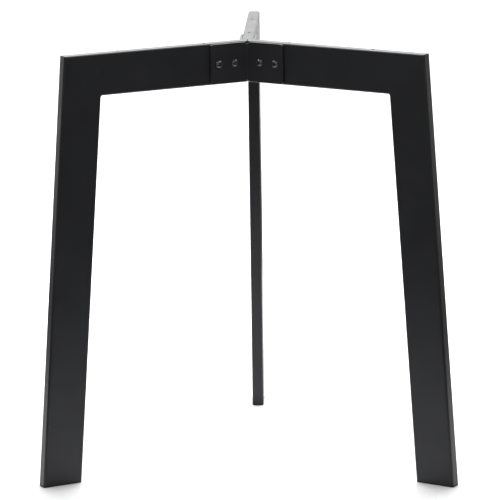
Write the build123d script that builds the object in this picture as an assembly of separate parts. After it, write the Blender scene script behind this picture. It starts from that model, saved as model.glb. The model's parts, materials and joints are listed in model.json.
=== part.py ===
from build123d import *
import os
from math import cos, hypot, radians, sin

# Three-arm table base in flat rectangular steel tube. Millimetres, +Z up.
# Three identical frames stand 120 degrees apart. Each is a level arm, mitred and welded to a leg
# that splays outward. Three bent plates make the hub: each one clamps the facing sides of two
# neighbouring arms, with two screws and two sleeve nuts in each arm. Nothing moves.
# Origin: on the floor, at the centre of the bounding box. The hub axis stands towards -Y from it.
# A frame is drawn in its own place: X outward from the hub axis, Y across the tube, Z up.

# Overall size
HEIGHT = 720.0  # floor to the top faces of the arms
TOP_REACH = 342.0  # hub axis to the outer top corner of a frame
FOOT_REACH = 398.0  # hub axis to the outer edge of a foot, at the floor
FRAME_ANGLES = {"back": 90.0, "left": 210.0, "right": 330.0}
PLATE_ANGLES = {"front": 270.0, "left": 150.0, "right": 30.0}  # each one midway between two frames
HALF_SPREAD = radians(60)  # from a plate's own direction to the two arms that it joins

# Tube of the arms and legs
TUBE_DEPTH = 70.0
TUBE_WIDTH = 20.0
TUBE_WALL = 2.0
TUBE_RADIUS = 3.5  # outside, along the four long edges

# Inner end of an arm: a 120 degree point, which leaves a slot of about 1 mm between neighbours
TIP_REACH = 1.0
TIP_WIDTH = 1.6
SHOULDER_REACH = 6.4

# Holes in an arm for the table top's screws, and for a driver below them
FIXING_REACHES = (82.0, 242.0)
FIXING_DIAMETER = 5.5
DRIVER_DIAMETER = 14.0

# Hub plates
PLATE_THICK = 4.0
PLATE_HEIGHT = 67.0
PLATE_REACH = 77.0  # hub axis to a wing's end, along the arm
PLATE_CORNER = 5.0
BEND_RADIUS = 2.0  # inside the fold, on the side away from the hub axis
NOTCH_RADIUS = 4.0  # round relief at each end of the fold
NOTCH_DEPTH = 3.0
PLATE_SOFTENING = 0.6  # round the edges of the visible side
NIB_RADIUS = 1.2  # small cutting nib left at the middle of each wing's end
NIB_PROUD = 0.6

# Screws and sleeve nuts through an arm and its two plates
SCREW_REACHES = {"inner": 32.0, "outer": 62.0}
SCREW_DIAMETER = 8.0
SCREW_LENGTH = 18.0
THREAD_CLEARANCE = 0.05  # radial, between the plain screw and the plain sleeve bore
SLEEVE_DIAMETER = 10.0
SLEEVE_LENGTH = 24.0
SLEEVE_BORE_DEPTH = 18.0
SLEEVE_HOLE = 10.5
HEAD_DIAMETER = 14.0
HEAD_HEIGHT = 4.4
HEAD_RIM = 0.5
HEAD_FLAT = 7.2  # diameter of the flat round the socket
HEAD_BULGE = 0.6  # how far the dome stands above a straight cone from rim to flat
SOCKET_FLATS = 5.0
SOCKET_DEPTH = 2.8
SOCKET_POINT = 1.2  # depth of the drilled cone in the socket's floor
SOCKET_POINT_RADIUS = 2.0

# Foot caps
CAP_THICK = 3.0
CAP_ROUNDING = 1.2
PLUG_HEIGHT = 22.0
PLUG_CLEARANCE = 0.2
PLUG_WALL = 2.0
PLUG_OVERLAP = 1.0  # how far the plug's drawn body reaches into the sole

# Fillet weld inside each corner
WELD_LEG = 3.0
WELD_ROUNDING = 0.35  # how far its face bulges towards the corner

MARGIN = 20.0  # how far cutting bodies reach past what they cut

# Places worked out from the sizes above
SLOPE = (FOOT_REACH - TOP_REACH) / HEIGHT
ARM_BOTTOM = HEIGHT - TUBE_DEPTH
ARM_MIDDLE = HEIGHT - TUBE_DEPTH / 2
LEG_UP = Vector(-SLOPE, 0, 1).normalized()
LEG_INWARD = Vector(-1, 0, -SLOPE).normalized()
PLATE_FACE = TUBE_WIDTH / 2 + PLATE_THICK


def leg_inner(height):
    """Reach of a leg's inner face at a height."""
    return FOOT_REACH - height * SLOPE - TUBE_DEPTH * hypot(1, SLOPE)


def mitre(height):
    """Reach of the mitre plane between arm and leg at a height."""
    inner = leg_inner(ARM_BOTTOM)
    return inner + (height - ARM_BOTTOM) * (TOP_REACH - inner) / TUBE_DEPTH


def front_reach():
    """How far the two front feet reach towards -Y from the hub axis."""
    corner = Vector(FOOT_REACH - TUBE_RADIUS, TUBE_WIDTH / 2 - TUBE_RADIUS)
    return corner.X * cos(HALF_SPREAD) + corner.Y * sin(HALF_SPREAD) + TUBE_RADIUS


HUB_Y = (front_reach() - FOOT_REACH) / 2


def section(depth, width, radius):
    """Rounded rectangle, its depth along the sketch's X."""
    return RectangleRounded(depth, width, radius)


def tube_section():
    inner_depth = TUBE_DEPTH - 2 * TUBE_WALL
    inner_width = TUBE_WIDTH - 2 * TUBE_WALL
    outer = section(TUBE_DEPTH, TUBE_WIDTH, TUBE_RADIUS)
    return outer - section(inner_depth, inner_width, TUBE_RADIUS - TUBE_WALL)


def side_prism(points):
    """Prism with the given outline in X and Z, wider than the tube."""
    return extrude(Plane.XZ * Polygon(*points, align=None), TUBE_WIDTH, both=True)


def top_prism(points):
    """Prism with the given outline in X and Y, through the whole height."""
    return extrude(Polygon(*points, align=None), HEIGHT + MARGIN, dir=(0, 0, 1))


def cross_hole(reach, diameter):
    """Body of a hole through an arm from side to side, at mid-depth."""
    return Pos(reach, 0, ARM_MIDDLE) * Rot(X=90) * Cylinder(diameter / 2, 2 * TUBE_WIDTH)


def arm_tube():
    low, high = ARM_BOTTOM - MARGIN, HEIGHT + MARGIN
    start = Plane(origin=(0, 0, ARM_MIDDLE), x_dir=(0, 0, 1), z_dir=(1, 0, 0))
    arm = extrude(start * tube_section(), TOP_REACH + MARGIN)
    arm &= side_prism([(-MARGIN, low), (mitre(low), low), (mitre(high), high), (-MARGIN, high)])
    tip, half = TIP_WIDTH / 2, TUBE_WIDTH / 2
    outline = [(TIP_REACH, -tip), (SHOULDER_REACH, -half), (SHOULDER_REACH, -half - MARGIN)]
    outline += [(TOP_REACH + MARGIN, -half - MARGIN), (TOP_REACH + MARGIN, half + MARGIN)]
    outline += [(SHOULDER_REACH, half + MARGIN), (SHOULDER_REACH, half), (TIP_REACH, tip)]
    arm &= top_prism(outline)
    for reach in SCREW_REACHES.values():
        arm -= cross_hole(reach, SLEEVE_HOLE)
    for reach in FIXING_REACHES:
        arm -= Pos(reach, 0, HEIGHT) * Cylinder(FIXING_DIAMETER / 2, 4 * TUBE_WALL)
        arm -= Pos(reach, 0, ARM_BOTTOM) * Cylinder(DRIVER_DIAMETER / 2, 4 * TUBE_WALL)
    return arm


def along_leg(sketch):
    """The sketch drawn out along the leg, past both its ends."""
    origin = Vector(FOOT_REACH, 0, 0) + LEG_INWARD * (TUBE_DEPTH / 2) - LEG_UP * MARGIN
    start = Plane(origin=origin, x_dir=LEG_INWARD, z_dir=LEG_UP)
    return extrude(start * sketch, HEIGHT * hypot(1, SLOPE) + 2 * MARGIN)


def slab(low, high):
    """Layer between two heights that covers a whole foot."""
    return Pos(FOOT_REACH, 0, (low + high) / 2) * Box(4 * TUBE_DEPTH, 2 * TUBE_WIDTH, high - low)


def leg_tube():
    low, high = ARM_BOTTOM - MARGIN, HEIGHT + MARGIN
    outside = FOOT_REACH + MARGIN
    outline = [(mitre(low), low), (mitre(high), high), (outside, high)]
    outline += [(outside, CAP_THICK), (leg_inner(CAP_THICK) - MARGIN, CAP_THICK)]
    return along_leg(tube_section()) & side_prism(outline)


def foot_cap():
    """Flat sole under the tube, with a hollow plug that presses into it."""
    sole = along_leg(section(TUBE_DEPTH, TUBE_WIDTH, TUBE_RADIUS)) & slab(0, CAP_THICK)
    sole = fillet(sole.faces().sort_by(Axis.Z)[0].edges(), CAP_ROUNDING)
    gap = 2 * (TUBE_WALL + PLUG_CLEARANCE)
    depth, width = TUBE_DEPTH - gap, TUBE_WIDTH - gap
    plug = along_leg(section(depth, width, TUBE_RADIUS - TUBE_WALL))
    plug -= along_leg(Rectangle(depth - 2 * PLUG_WALL, width - 2 * PLUG_WALL))
    return sole + (plug & slab(CAP_THICK - PLUG_OVERLAP, CAP_THICK + PLUG_HEIGHT))


def corner_weld():
    corner = Vector(leg_inner(ARM_BOTTOM), ARM_BOTTOM)
    on_arm = corner + Vector(-WELD_LEG, 0)
    on_leg = corner - Vector(LEG_UP.X, LEG_UP.Z) * WELD_LEG
    middle = (on_arm + on_leg) / 2
    middle += (corner - middle).normalized() * WELD_ROUNDING
    edges = [Line(corner, on_arm), ThreePointArc(on_arm, middle, on_leg), Line(on_leg, corner)]
    run = TUBE_WIDTH / 2 - TUBE_RADIUS
    return extrude(Plane.XZ * make_face(edges), run, both=True)


def wing_place(reach, side):
    """Plane through one wing's arm at mid-height, facing the visible side of the wing."""
    along = Vector(cos(HALF_SPREAD), side * sin(HALF_SPREAD))
    start = Vector(along.X * reach, along.Y * reach, ARM_MIDDLE)
    return Plane(origin=start, z_dir=(side * along.Y, -side * along.X, 0))


def wing_hole(reach, side):
    return wing_place(reach, side) * Cylinder(SLEEVE_HOLE / 2, 2 * (PLATE_FACE + PLATE_THICK))


def wing_nib(side):
    place = wing_place(PLATE_REACH + NIB_PROUD - NIB_RADIUS, side)
    return place * Pos(0, 0, PLATE_FACE - PLATE_THICK / 2) * Cylinder(NIB_RADIUS, PLATE_THICK)


def visible_edges(plate):
    """Outline of the two wings on the side away from the hub axis, without the fold."""
    edges = []
    for face in plate.faces():
        if face.area > PLATE_REACH * PLATE_HEIGHT / 2 and face.normal_at().X > 0:
            edges += [e for e in face.outer_wire().edges() if e.center().X > PLATE_FACE + BEND_RADIUS]
    return edges


def plate_outline():
    """Fold seen from above, for one arm to each side of +X."""
    along = Vector(cos(HALF_SPREAD), sin(HALF_SPREAD))
    out = Vector(along.Y, -along.X)
    inner_end = along * PLATE_REACH + out * (TUBE_WIDTH / 2)
    outer_end = along * PLATE_REACH + out * PLATE_FACE
    inner_fold = TUBE_WIDTH / 2 / sin(HALF_SPREAD)
    outer_fold = PLATE_FACE / sin(HALF_SPREAD)
    points = [(outer_end.X, outer_end.Y), (outer_fold, 0), (outer_end.X, -outer_end.Y)]
    points += [(inner_end.X, -inner_end.Y), (inner_fold, 0), (inner_end.X, inner_end.Y)]
    outline = Polygon(*points, align=None)
    for reach, radius in ((inner_fold, BEND_RADIUS + PLATE_THICK), (outer_fold, BEND_RADIUS)):
        corner = outline.vertices().sort_by_distance((reach, 0, 0))[0]
        outline = fillet(corner, radius)
    return outline


def hub_plate():
    bottom = ARM_MIDDLE - PLATE_HEIGHT / 2
    top = ARM_MIDDLE + PLATE_HEIGHT / 2
    plate = Pos(0, 0, bottom) * extrude(plate_outline(), PLATE_HEIGHT, dir=(0, 0, 1))
    short = [e for e in plate.edges() if abs(e.length - PLATE_THICK) < 0.01]
    corners = [e for e in short if hypot(e.center().X, e.center().Y) > PLATE_REACH]
    plate = fillet(corners, PLATE_CORNER)
    for height in (bottom - NOTCH_RADIUS + NOTCH_DEPTH, top + NOTCH_RADIUS - NOTCH_DEPTH):
        plate -= Pos(PLATE_FACE, 0, height) * Rot(Y=90) * Cylinder(NOTCH_RADIUS, 4 * PLATE_THICK)
    plate = fillet(visible_edges(plate), PLATE_SOFTENING)
    for side in (-1, 1):
        plate += wing_nib(side)
        for reach in SCREW_REACHES.values():
            plate -= wing_hole(reach, side)
    return plate


def button_head():
    """Domed head on the plane Z = 0, with a hexagon socket that ends in a drilled cone."""
    rim, flat = HEAD_DIAMETER / 2, HEAD_FLAT / 2
    low, high = Vector(rim, HEAD_RIM), Vector(flat, HEAD_HEIGHT)
    outward = Vector(high.Y - low.Y, low.X - high.X).normalized()
    edges = [Line((0, 0), (rim, 0)), Line((rim, 0), low)]
    edges += [ThreePointArc(low, (low + high) / 2 + outward * HEAD_BULGE, high)]
    edges += [Line((flat, HEAD_HEIGHT), (0, HEAD_HEIGHT)), Line((0, HEAD_HEIGHT), (0, 0))]
    head = revolve(Plane.XZ * make_face(edges), Axis.Z)
    socket = RegularPolygon(SOCKET_FLATS / 2, 6, major_radius=False)
    floor = HEAD_HEIGHT - SOCKET_DEPTH
    head -= Pos(0, 0, floor) * extrude(socket, HEAD_HEIGHT)
    return head - Pos(0, 0, floor - SOCKET_POINT / 2) * Cone(0, SOCKET_POINT_RADIUS, SOCKET_POINT)


def below(radius, length):
    """Cylinder that hangs down from the plane Z = 0."""
    return Pos(0, 0, -length / 2) * Cylinder(radius, length)


def hub_screw():
    return button_head() + below(SCREW_DIAMETER / 2 - THREAD_CLEARANCE, SCREW_LENGTH)


def sleeve_nut():
    nut = button_head() + below(SLEEVE_DIAMETER / 2, SLEEVE_LENGTH)
    bore = Cylinder(SCREW_DIAMETER / 2, SLEEVE_BORE_DEPTH)
    return nut - Pos(0, 0, SLEEVE_BORE_DEPTH / 2 - SLEEVE_LENGTH) * bore


def on_side(piece, reach, side):
    """Puts a screw or nut, drawn along Z, on one side of an arm with its head outward."""
    place = Plane(origin=(reach, side * PLATE_FACE, ARM_MIDDLE), x_dir=(1, 0, 0), z_dir=(0, side, 0))
    return place * piece


def turned(piece, angle):
    """Turns a piece about the hub axis and moves it to the model's frame."""
    return Pos(0, HUB_Y, 0) * Rot(Z=angle) * piece


def all_nodes():
    nodes = {}
    for name, angle in FRAME_ANGLES.items():
        nodes[f"arm_tube_{name}"] = turned(arm_tube(), angle)
        nodes[f"leg_tube_{name}"] = turned(leg_tube(), angle)
        nodes[f"foot_cap_{name}"] = turned(foot_cap(), angle)
        nodes[f"corner_weld_{name}"] = turned(corner_weld(), angle)
        for row, reach in SCREW_REACHES.items():
            nodes[f"hub_screw_{name}_{row}"] = turned(on_side(hub_screw(), reach, -1), angle)
            nodes[f"sleeve_nut_{name}_{row}"] = turned(on_side(sleeve_nut(), reach, 1), angle)
    for name, angle in PLATE_ANGLES.items():
        nodes[f"hub_plate_{name}"] = turned(hub_plate(), angle)
    return nodes


os.makedirs("parts", exist_ok=True)
for node, shape in all_nodes().items():
    export_step(shape, f"parts/{node}.step")
    size = shape.bounding_box().size
    print(f"{node:26s} {shape.volume:10.1f} mm3  {size.X:6.1f} x {size.Y:6.1f} x {size.Z:6.1f}")
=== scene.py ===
import json
from math import cos, pi, radians, sin

import bmesh
import bpy
from mathutils import Matrix, Vector


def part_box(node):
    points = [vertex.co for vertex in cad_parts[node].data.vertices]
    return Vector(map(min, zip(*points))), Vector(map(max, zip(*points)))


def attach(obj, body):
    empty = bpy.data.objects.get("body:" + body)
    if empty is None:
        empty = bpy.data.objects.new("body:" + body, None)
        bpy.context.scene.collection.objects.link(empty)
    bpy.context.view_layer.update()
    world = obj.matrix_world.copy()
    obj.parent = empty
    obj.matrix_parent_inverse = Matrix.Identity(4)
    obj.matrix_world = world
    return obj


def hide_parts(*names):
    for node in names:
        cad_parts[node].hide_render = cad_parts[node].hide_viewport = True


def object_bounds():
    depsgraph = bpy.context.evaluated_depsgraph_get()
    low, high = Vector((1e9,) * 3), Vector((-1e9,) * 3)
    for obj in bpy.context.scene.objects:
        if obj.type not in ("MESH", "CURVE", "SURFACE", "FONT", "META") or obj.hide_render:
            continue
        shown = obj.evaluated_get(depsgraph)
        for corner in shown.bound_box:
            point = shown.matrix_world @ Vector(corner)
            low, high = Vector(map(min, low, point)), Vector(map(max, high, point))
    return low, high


# Three-arm table base in black powder-coated tube. Metres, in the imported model's frame, +Z up.
# The CAD nodes carry the shapes. This script gives them their materials, and adds the rippled
# weld beads and the ground-down weld seams.
# A weld is drawn on the back frame, with X across the tube, and turned about the hub's axis.

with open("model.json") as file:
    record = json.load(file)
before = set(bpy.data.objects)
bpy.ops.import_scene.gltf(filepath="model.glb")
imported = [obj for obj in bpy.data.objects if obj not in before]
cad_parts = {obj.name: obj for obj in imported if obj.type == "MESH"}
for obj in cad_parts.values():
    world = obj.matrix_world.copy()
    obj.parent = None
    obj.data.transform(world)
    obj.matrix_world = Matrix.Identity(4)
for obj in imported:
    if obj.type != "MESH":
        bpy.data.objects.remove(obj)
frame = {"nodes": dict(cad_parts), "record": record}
cad_low, cad_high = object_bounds()

SIDES = {"back": 0.0, "left": 120.0, "right": 240.0}  # turn about the hub axis from the back frame

# Camera, placed from the hub axis on the floor
CAMERA_OFFSET = Vector((0.1913, -5.4248, 1.5253))
CAMERA_YAW = 2.018
CAMERA_PITCH = 12.122
CAMERA_ROLL = -0.639
CAMERA_LENS = 235.48
SENSOR_WIDTH = 36.0

# Studio: each light is (width, height, place, point that it faces, radiance). Places are measured
# from the point on the floor under the hub.
LIGHTS = {
    "overhead": (2.0, 1.4, (0.0, 1.2, 2.1), (0.0, 1.2, 0.0), 7.2),
    "key_left": (1.4, 1.0, (-1.5, -0.2, 2.3), (-0.4, 0.0, 0.7), 3.3),
    "key_right": (1.4, 1.0, (1.5, -0.2, 2.3), (0.4, 0.0, 0.7), 3.3),
    "high_front": (1.3, 1.0, (0.0, -2.6, 3.0), (0.0, 0.0, 0.7), 3.5),
    "glint_left": (1.4, 1.4, (-2.4, -4.4, 1.4), (0.0, 0.0, 0.7), 3.6),
    "glint_right": (1.4, 1.4, (2.4, -4.4, 1.4), (0.0, 0.0, 0.7), 3.6),
    "sweep": (6.0, 5.0, (0.0, 3.5, 3.0), (0.0, 3.5, 0.0), 2.4),
    "backdrop": (14.0, 5.0, (0.0, 9.4, 2.5), (0.0, 0.0, 2.5), 1.6),
    "back_left": (2.0, 1.6, (-5.0, 3.1, 0.8), (-5.0, 3.1, 0.0), 5.0),
    "back_right": (2.0, 1.6, (5.0, 3.1, 0.8), (5.0, 3.1, 0.0), 3.5),
    "front_left": (2.0, 1.6, (-3.8, -2.0, 0.8), (-3.8, -2.0, 0.0), 0.9),
    "front_right": (2.0, 1.6, (3.8, -2.0, 0.8), (3.8, -2.0, 0.0), 0.4),
}
AMBIENT = 0.25
FLOOR_SIZE = 80.0

# Dark cards that only the object's reflections see: a ring on the floor, and a wall round it
RING_HOLE_SHIFT = 0.35  # how far the middle of the ring's hole lies behind the hub
RING_HOLE_RADIUS = 1.12
RING_RADIUS = 3.0
RING_LIFT = 0.002  # height over the floor
WALL_RADIUS = 7.0
WALL_HEIGHT = 4.0
WALL_GAP = 42.0  # the wall is open this far to each side of the backdrop, in degrees
CARD_STEPS = 96
CARD_TONE = 0.06

# Fillet weld in each inner corner
BEAD_RIPPLE = 0.0011  # length of one ripple
BEAD_RIPPLE_DEPTH = 0.00012
BEAD_SAG = 0.0003  # how far the bead's face is hollowed towards the corner
BEAD_ROOT = 0.0003  # how far the bead's hidden edge lies in the tubes
BEAD_STEPS = 72
BEAD_PARTS = 8

# Ground-down weld seam along each mitre
SEAM_WIDTH = 0.0036
SEAM_HEIGHT = 0.00006
SEAM_SINK = 0.0003  # how far a seam's underside lies in the tube's wall
SEAM_INSET = 0.055  # share of the mitre's length left free at each end
SEAM_RISE = 6.0  # a seam reaches its full height after one sixth of its length
SEAM_DIP = 0.2  # share of the height by which a seam's edges dip below the tube's face
SEAM_STEPS = 60
SEAM_PARTS = 10

# Powder coat: the mottling runs between these two tints of a coat's tone
DARK_TINT = (0.84, 0.87, 0.97)
LIGHT_TINT = (1.08, 1.12, 1.26)
DUST = (0.16, 0.16, 0.165, 1.0)


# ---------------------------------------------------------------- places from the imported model


def hub_axis():
    """Point on the floor under the hub, from the pattern of holes in the arms."""
    mounts = {m["name"]: m for m in frame["record"]["mounts"]}
    x, y, _ = mounts["table_holes_inner"]["pos_m"]
    return Vector((x, y, 0.0))


HUB = hub_axis()


def turned(side):
    """Matrix that turns the back frame's place into another frame's."""
    about = Matrix.Rotation(radians(SIDES[side]), 4, "Z")
    return Matrix.Translation(HUB) @ about @ Matrix.Translation(-HUB)


# ---------------------------------------------------------------- node helpers


def new_material(name):
    material = bpy.data.materials.new(name)
    material.use_nodes = True
    tree = material.node_tree
    shader = tree.nodes["Principled BSDF"]
    return material, tree, shader


def add(tree, kind, **inputs):
    """New node with the given inputs set; an input can be a value or another node's socket."""
    made = tree.nodes.new(kind)
    for key, value in inputs.items():
        socket = made.inputs[key.replace("_", " ")]
        if isinstance(value, bpy.types.NodeSocket):
            tree.links.new(value, socket)
        else:
            socket.default_value = value
    return made


def place(tree):
    """Position on the piece, for patterns that stay with it."""
    return tree.nodes.new("ShaderNodeTexCoord").outputs["Object"]


def noise(tree, size, detail=2.0, roughness=0.5):
    """Noise whose features are about the given size, in metres."""
    made = add(tree, "ShaderNodeTexNoise", Vector=place(tree), Scale=1.0 / size)
    made.inputs["Detail"].default_value = detail
    made.inputs["Roughness"].default_value = roughness
    return made.outputs["Fac"]


def ranged(tree, value, low, high, start=0.3, end=0.7):
    """Value between start and end, spread over low to high."""
    made = add(tree, "ShaderNodeMapRange", Value=value)
    made.inputs["From Min"].default_value = start
    made.inputs["From Max"].default_value = end
    made.inputs["To Min"].default_value = low
    made.inputs["To Max"].default_value = high
    return made.outputs["Result"]


def worked(tree, operation, first, second):
    """Result of one arithmetic step on two values, each a number or another node's socket."""
    made = tree.nodes.new("ShaderNodeMath")
    made.operation = operation
    for socket, value in zip(made.inputs, (first, second)):
        if isinstance(value, bpy.types.NodeSocket):
            tree.links.new(value, socket)
        else:
            socket.default_value = value
    return made.outputs["Value"]


def mixed(tree, factor, first, second):
    """Colour between two colours."""
    made = tree.nodes.new("ShaderNodeMix")
    made.data_type = "RGBA"
    tree.links.new(factor, made.inputs["Factor"])
    colours = [s for s in made.inputs if s.type == "RGBA"]
    for socket, value in zip(colours, (first, second)):
        if isinstance(value, bpy.types.NodeSocket):
            tree.links.new(value, socket)
        else:
            socket.default_value = value
    return [s for s in made.outputs if s.type == "RGBA"][0]


def bump(tree, height, distance, strength, under=None):
    """Bumped normal, on top of another bump where one is given."""
    made = add(tree, "ShaderNodeBump", Height=height, Distance=distance, Strength=strength)
    if under is not None:
        tree.links.new(under, made.inputs["Normal"])
    return made.outputs["Normal"]


def specks(tree, spacing, radius, share):
    """1 inside sparse round specks, 0 elsewhere."""
    cells = add(tree, "ShaderNodeTexVoronoi", Vector=place(tree), Scale=1.0 / spacing)
    inside = worked(tree, "LESS_THAN", cells.outputs["Distance"], radius / spacing)
    parts = add(tree, "ShaderNodeSeparateColor", Color=cells.outputs["Color"])
    chosen = worked(tree, "LESS_THAN", parts.outputs["Red"], share)
    return worked(tree, "MULTIPLY", inside, chosen)


# ---------------------------------------------------------------- materials


def grey(level):
    return (level, level, level, 1.0)


def tinted(tone, tint):
    """Colour of a tone seen through a tint."""
    return (tone * tint[0], tone * tint[1], tone * tint[2], 1.0)


def powder_coat(name, tone, roughness):
    """Black powder coat: soft sheen, slight orange peel, faint mottling and a few dust specks."""
    material, tree, shader = new_material(name)
    mottle = ranged(tree, noise(tree, size=0.045, detail=4.0), low=0.0, high=1.0)
    colour = mixed(tree, mottle, tinted(tone, DARK_TINT), tinted(tone, LIGHT_TINT))
    dust = specks(tree, spacing=0.022, radius=0.0004, share=0.12)
    colour = mixed(tree, dust, colour, DUST)
    tree.links.new(colour, shader.inputs["Base Color"])
    patches = noise(tree, size=0.06, detail=5.0, roughness=0.62)
    handled = ranged(tree, patches, low=-0.035, high=0.045)
    grain = ranged(tree, noise(tree, size=0.0009), low=-0.03, high=0.03)
    gloss = worked(tree, "ADD", worked(tree, "ADD", handled, grain), roughness)
    tree.links.new(gloss, shader.inputs["Roughness"])
    shader.inputs["Specular IOR Level"].default_value = 0.38
    shader.inputs["Specular Tint"].default_value = (0.95, 0.955, 1.0, 1.0)
    peel = bump(tree, noise(tree, size=0.0032, detail=1.0), distance=0.00006, strength=0.5)
    grit = noise(tree, size=0.0007)
    fine = bump(tree, grit, distance=0.00003, strength=0.6, under=peel)
    tree.links.new(fine, shader.inputs["Normal"])
    return material


def black_zinc(name):
    """Semi-gloss blackened screw finish, with slight wear and a faint unevenness."""
    material, tree, shader = new_material(name)
    rubbed = noise(tree, size=0.0045, detail=3.0)
    worn = ranged(tree, rubbed, low=0.0, high=1.0, start=0.45, end=0.8)
    colour = mixed(tree, worn, (0.070, 0.070, 0.072, 1.0), (0.130, 0.128, 0.126, 1.0))
    tree.links.new(colour, shader.inputs["Base Color"])
    shader.inputs["Metallic"].default_value = 0.85
    shader.inputs["Specular IOR Level"].default_value = 0.9
    gloss = ranged(tree, noise(tree, size=0.0025, detail=3.0), low=0.22, high=0.29)
    tree.links.new(gloss, shader.inputs["Roughness"])
    marks = bump(tree, noise(tree, size=0.0015), distance=0.00001, strength=0.3)
    tree.links.new(marks, shader.inputs["Normal"])
    return material


def moulded_plastic(name):
    """Matt black plastic with a fine eroded grain."""
    material, tree, shader = new_material(name)
    rubbed = noise(tree, size=0.008, detail=5.0, roughness=0.65)
    scuffs = ranged(tree, rubbed, low=0.0, high=1.0, start=0.5, end=0.75)
    colour = mixed(tree, scuffs, (0.010, 0.010, 0.0105, 1.0), grey(0.026))
    tree.links.new(colour, shader.inputs["Base Color"])
    gloss = ranged(tree, noise(tree, size=0.001), low=0.58, high=0.70)
    tree.links.new(gloss, shader.inputs["Roughness"])
    shader.inputs["Specular IOR Level"].default_value = 0.28
    grain = bump(tree, noise(tree, size=0.0006, detail=3.0), distance=0.00008, strength=0.7)
    tree.links.new(grain, shader.inputs["Normal"])
    return material


def studio_floor(name):
    """Pale matt floor with a barely visible unevenness."""
    material, tree, shader = new_material(name)
    patches = ranged(tree, noise(tree, size=0.9, detail=3.0), low=0.0, high=1.0)
    colour = mixed(tree, patches, grey(0.85), grey(0.88))
    tree.links.new(colour, shader.inputs["Base Color"])
    shader.inputs["Roughness"].default_value = 0.9
    shader.inputs["Specular IOR Level"].default_value = 0.1
    return material


def finish_nodes():
    """Gives every CAD node its material, and returns the arms' coat for the welds."""
    # One black powder coat in three tones: the legs' coat is set darker and the plates' coat
    # lighter than the arms' coat. The darker legs are painted shade and the lighter plates are
    # painted light, set to match how bright each part looks under these lamps.
    leg_coat = powder_coat("coat_legs", tone=0.0068, roughness=0.35)
    arm_coat = powder_coat("coat_arms", tone=0.0074, roughness=0.355)
    plate_coat = powder_coat("coat_plates", tone=0.0080, roughness=0.365)
    finishes = {
        "arm_tube": arm_coat,
        "leg_tube": leg_coat,
        "corner_weld": arm_coat,
        "hub_plate": plate_coat,
        "hub_screw": black_zinc("black_screws"),
        "sleeve_nut": black_zinc("black_nuts"),
        "foot_cap": moulded_plastic("cap_plastic"),
    }
    for name, node in frame["nodes"].items():
        kind = next(k for k in finishes if name.startswith(k))
        for slot in node.material_slots:
            slot.material = finishes[kind]
    return arm_coat


# ---------------------------------------------------------------- welds


def piece(name, mesh, material):
    """New smooth-shaded piece on the root body."""
    for face in mesh.polygons:
        face.use_smooth = True
    mesh.materials.append(material)
    made = bpy.data.objects.new(name, mesh)
    bpy.context.scene.collection.objects.link(made)
    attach(made, "root")
    return made


def loft(rings):
    """Closed mesh through rings of points, with flat ends."""
    build = bmesh.new()
    rows = [[build.verts.new(p) for p in ring] for ring in rings]
    for a, b in zip(rows, rows[1:]):
        for i in range(len(a)):
            j = (i + 1) % len(a)
            build.faces.new((a[i], a[j], b[j], b[i]))
    build.faces.new(rows[0][::-1])
    build.faces.new(rows[-1])
    bmesh.ops.recalc_face_normals(build, faces=build.faces)
    mesh = bpy.data.meshes.new("loft")
    build.to_mesh(mesh)
    build.free()
    return mesh


def bead_rings():
    """Rippled fillet weld in the back frame's inner corner, run across the tube."""
    low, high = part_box("corner_weld_back")
    leg = high.z - low.z
    corner = Vector((0.0, low.y + leg, high.z))
    on_arm = corner + Vector((0.0, -leg, 0.0))
    on_leg = Vector((0.0, high.y, low.z))
    rings = []
    for step in range(BEAD_STEPS + 1):
        x = low.x + (high.x - low.x) * step / BEAD_STEPS
        ripple = BEAD_RIPPLE_DEPTH * abs(sin(pi * x / BEAD_RIPPLE))
        ring = [corner + Vector((x, BEAD_ROOT, BEAD_ROOT))]
        for part in range(BEAD_PARTS + 1):
            t = part / BEAD_PARTS
            face = on_arm.lerp(on_leg, t)
            inward = (corner - face).normalized()
            depth = (BEAD_SAG - ripple) * sin(pi * t)
            ring.append(Vector((x, 0, 0)) + face + inward * depth)
        rings.append(ring)
    return rings


def mitre_ends():
    """The mitre line on the back frame: inner corner below, outer corner above."""
    weld_low, weld_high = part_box("corner_weld_back")
    _, arm_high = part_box("arm_tube_back")
    inner = Vector((0.0, weld_low.y + weld_high.z - weld_low.z, weld_high.z))
    return inner, Vector((0.0, arm_high.y, arm_high.z))


def left_by_grinding(t):
    """Share of a seam's height, 0.5 to 1, that hand grinding left at t along its length."""
    return 0.75 + 0.25 * sin(23 * t) * cos(9 * t + 1)


def seam_rings(side):
    """Ground-down weld along the mitre on one wide face of the back frame's tube."""
    inner, outer = mitre_ends()
    _, tube_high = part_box("arm_tube_back")
    along = (outer - inner).normalized()
    across = along.cross(Vector((1, 0, 0)))
    inset = (outer - inner).length * SEAM_INSET
    start, end = inner + along * inset, outer - along * inset
    rings = []
    for step in range(SEAM_STEPS + 1):
        t = step / SEAM_STEPS
        centre = start.lerp(end, t)
        rise = left_by_grinding(t) * min(1.0, SEAM_RISE * t, SEAM_RISE * (1 - t))
        ring = []
        for part in range(SEAM_PARTS + 1):
            s = part / SEAM_PARTS * 2 - 1
            crown = rise * (1 + cos(pi * s)) / 2
            height = SEAM_HEIGHT * (crown - SEAM_DIP * abs(s))
            lift = Vector((side * (tube_high.x + height), 0, 0))
            ring.append(centre + across * (s * SEAM_WIDTH / 2) + lift)
        for s in (1, -1):
            sunk = Vector((side * (tube_high.x - SEAM_SINK), 0, 0))
            ring.append(centre + across * (s * SEAM_WIDTH / 2) + sunk)
        rings.append(ring)
    return rings


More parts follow.
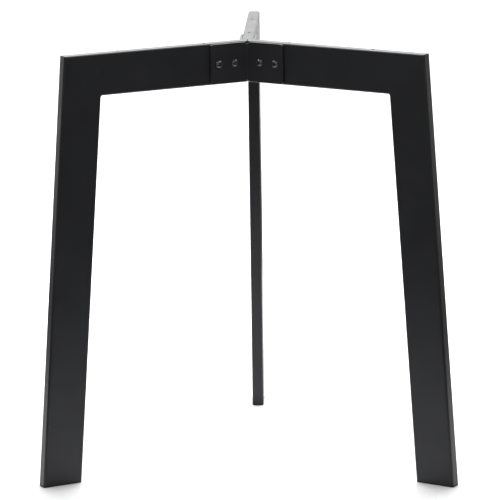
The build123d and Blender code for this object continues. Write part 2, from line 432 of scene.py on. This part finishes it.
def add_welds(material):
    """A bead in the inner corner and a seam on both wide faces of each frame."""
    for name in SIDES:
        matrix = turned(name)
        bead = loft([[matrix @ p for p in ring] for ring in bead_rings()])
        made = piece(f"weld_bead_{name}", bead, material)
        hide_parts(f"corner_weld_{name}")
        for label, side in (("a", -1), ("b", 1)):
            seam = loft([[matrix @ p for p in ring] for ring in seam_rings(side)])
            piece(f"mitre_seam_{name}_{label}", seam, material)


# ---------------------------------------------------------------- studio


def add_camera():
    yaw, pitch, roll = map(radians, (CAMERA_YAW, CAMERA_PITCH, CAMERA_ROLL))
    forward = Vector((-sin(yaw) * cos(pitch), cos(yaw) * cos(pitch), -sin(pitch)))
    right = Vector((cos(yaw), sin(yaw), 0.0))
    up = right.cross(forward)
    tilted = right * cos(roll) + up * sin(roll)
    upward = up * cos(roll) - right * sin(roll)
    turn = Matrix((tilted, upward, -forward)).transposed().to_4x4()
    data = bpy.data.cameras.new("camera")
    data.lens = CAMERA_LENS
    data.sensor_width = SENSOR_WIDTH
    data.clip_end = 200.0
    camera = bpy.data.objects.new("camera", data)
    camera.matrix_world = Matrix.Translation(HUB + CAMERA_OFFSET) @ turn
    bpy.context.scene.collection.objects.link(camera)
    bpy.context.scene.camera = camera


def add_light(name, width, height, at, target, radiance):
    """Soft panel that the camera does not see."""
    data = bpy.data.lights.new(name, "AREA")
    data.shape = "RECTANGLE"
    data.size, data.size_y = width, height
    data.energy = radiance * pi * width * height
    light = bpy.data.objects.new(name, data)
    light.location = HUB + Vector(at)
    facing = Vector(target) - Vector(at)
    light.rotation_mode = "QUATERNION"
    light.rotation_quaternion = facing.to_track_quat("-Z", "Y")
    light.visible_camera = False
    bpy.context.scene.collection.objects.link(light)


def add_floor():
    build = bmesh.new()
    half = FLOOR_SIZE / 2
    corners = [(-half, -half), (half, -half), (half, half), (-half, half)]
    build.faces.new([build.verts.new((x, y, cad_low.z)) for x, y in corners])
    mesh = bpy.data.meshes.new("studio_floor")
    build.to_mesh(mesh)
    build.free()
    mesh.materials.append(studio_floor("floor"))
    floor = bpy.data.objects.new("studio_floor", mesh)
    bpy.context.scene.collection.objects.link(floor)


def add_cards():
    """Dark cards round the object that only its reflections see, so that the sheen fades upward."""
    circles = [(RING_HOLE_RADIUS, RING_HOLE_SHIFT, RING_LIFT), (RING_RADIUS, 0.0, RING_LIFT)]
    circles += [(WALL_RADIUS, 0.0, 0.0), (WALL_RADIUS, 0.0, WALL_HEIGHT)]
    turns = [2 * pi * step / CARD_STEPS for step in range(CARD_STEPS)]
    build = bmesh.new()
    rows = []
    for radius, y, z in circles:
        rows.append([build.verts.new((radius * sin(a), radius * cos(a) + y, z)) for a in turns])
    for i, turn in enumerate(turns):
        j = (i + 1) % CARD_STEPS
        build.faces.new((rows[0][i], rows[1][i], rows[1][j], rows[0][j]))
        if cos(turn) < cos(radians(WALL_GAP)):
            build.faces.new((rows[2][i], rows[3][i], rows[3][j], rows[2][j]))
    mesh = bpy.data.meshes.new("dark_cards")
    build.to_mesh(mesh)
    build.free()
    material, _, shader = new_material("card")
    shader.inputs["Base Color"].default_value = grey(CARD_TONE)
    shader.inputs["Roughness"].default_value = 1.0
    shader.inputs["Specular IOR Level"].default_value = 0.0
    mesh.materials.append(material)
    cards = bpy.data.objects.new("dark_cards", mesh)
    cards.location = HUB
    cards.visible_camera = False
    cards.visible_diffuse = False
    cards.visible_shadow = False
    bpy.context.scene.collection.objects.link(cards)


def add_world():
    """Even white light from all round."""
    world = bpy.data.worlds.new("studio")
    world.use_nodes = True
    background = world.node_tree.nodes["Background"]
    background.inputs["Color"].default_value = grey(1.0)
    background.inputs["Strength"].default_value = AMBIENT
    bpy.context.scene.world = world


weld_coat = finish_nodes()
add_welds(weld_coat)
add_camera()
for light_name, settings in LIGHTS.items():
    add_light(light_name, *settings)
add_floor()
add_cards()
add_world()
bpy.context.scene.view_settings.view_transform = "Standard"
